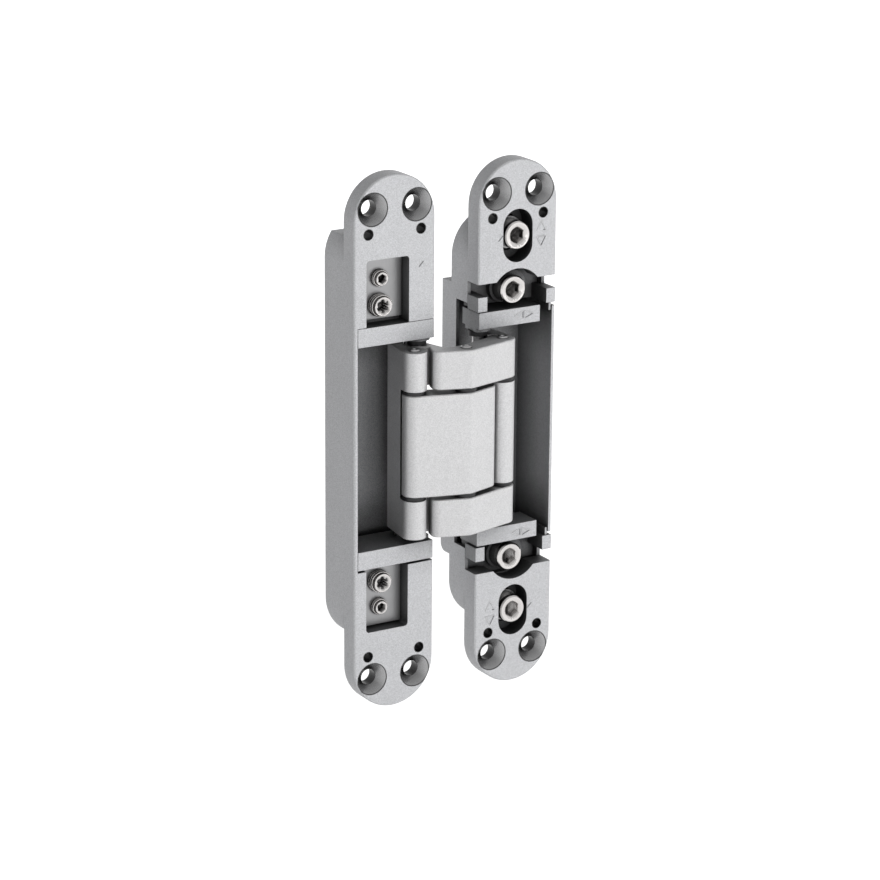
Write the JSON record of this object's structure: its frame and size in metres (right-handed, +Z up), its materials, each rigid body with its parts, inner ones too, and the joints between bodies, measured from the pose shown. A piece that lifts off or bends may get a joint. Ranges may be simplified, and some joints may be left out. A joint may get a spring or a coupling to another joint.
{
  "type": "concealed hinge",
  "caption": "Concealed door hinge with two slim round-ended leaves, folding cast arms between them, and screws that set its depth, side and height.",
  "frame": {"origin": "centre of the frame leaf's face", "axes": "+Z up along the leaves, +X from the frame leaf towards the door leaf, +Y into the mortise"},
  "size_m": [0.0677, 0.0292, 0.16],
  "materials": {
    "leaf_casting": "satin silver-grey coating with a fine sparkle",
    "block_casting": "satin silver-grey coating with a fine sparkle",
    "arm_casting": "bright satin silver",
    "guide_steel": "brushed",
    "nickel_screw": "bright nickel",
    "pin_steel": "ground steel",
    "black_washer": "black low-friction plastic"
  },
  "bodies": {
    "frame_leaf": {"frame_leaf_body": "leaf_casting"},
    "frame_carriage": {"upper_frame_bearing": "block_casting", "lower_frame_bearing": "block_casting", "upper_guide_plate": "guide_steel", "lower_guide_plate": "guide_steel", "depth_screws": "nickel_screw", "lock_screws": "nickel_screw", "frame_arm_pin": "pin_steel", "frame_lever_pin": "pin_steel", "frame_pivot_washers": "black_washer"},
    "outer_arms": {"upper_outer_arm": "arm_casting", "lower_outer_arm": "arm_casting", "centre_pin": "pin_steel", "door_barrel_pin": "pin_steel", "centre_thrust_washers": "black_washer", "door_barrel_washers": "black_washer"},
    "centre_arm": {"centre_arm": "arm_casting", "frame_barrel_pin": "pin_steel", "frame_barrel_washers": "black_washer"},
    "frame_lever": {"frame_lever": "arm_casting"},
    "door_lever": {"door_lever": "arm_casting"},
    "door_carriage": {"upper_door_bearing": "block_casting", "lower_door_bearing": "block_casting", "side_bolts": "nickel_screw", "door_arm_pin": "pin_steel", "door_lever_pin": "pin_steel", "door_pivot_washers": "black_washer"},
    "height_brackets": {"upper_height_bracket": "block_casting", "lower_height_bracket": "block_casting", "height_bolts": "nickel_screw", "bolt_washers": "pin_steel"},
    "door_leaf": {"door_leaf_body": "leaf_casting"}
  },
  "joints": [
    {"name": "depth_adjust", "type": "slide", "parent": "frame_leaf", "child": "frame_carriage", "axis": [0, 1, 0], "range_m": [-0.001, 0.001]},
    {"name": "door_swing", "type": "hinge", "parent": "frame_carriage", "child": "outer_arms", "pos_m": [0.01025, 0.00501, 0], "axis": [0, 0, -1], "range_deg": [0, 106.2]},
    {"name": "centre_fold", "type": "hinge", "parent": "outer_arms", "child": "centre_arm", "pos_m": [0.0206, -0.0055, 0], "axis": [0, 0, 1], "range_deg": [0, 32.4]},
    {"name": "door_fold", "type": "hinge", "parent": "centre_arm", "child": "door_carriage", "pos_m": [0.03095, 0.00501, 0], "axis": [0, 0, -1], "range_deg": [0, 106.2]},
    {"name": "frame_lever_fold", "type": "hinge", "parent": "centre_arm", "child": "frame_lever", "pos_m": [0.00575, -0.0016, 0], "axis": [0, 0, -1], "range_deg": [0, 30.29]},
    {"name": "door_lever_fold", "type": "hinge", "parent": "outer_arms", "child": "door_lever", "pos_m": [0.03545, -0.0016, 0], "axis": [0, 0, 1], "range_deg": [0, 30.29]},
    {"name": "side_adjust", "type": "slide", "parent": "door_carriage", "child": "height_brackets", "axis": [1, 0, 0], "range_m": [-0.0025, 0.0005]},
    {"name": "height_adjust", "type": "slide", "parent": "height_brackets", "child": "door_leaf", "axis": [0, 0, 1], "range_m": [-0.0008, 0.0008]}
  ],
  "couplings": [
    {"joint": "centre_fold", "follows": "door_swing", "ratio": 0.30508},
    {"joint": "door_fold", "follows": "door_swing", "ratio": 1},
    {"joint": "frame_lever_fold", "follows": "door_swing", "ratio": 0.28516},
    {"joint": "door_lever_fold", "follows": "door_swing", "ratio": 0.28516}
  ]
}
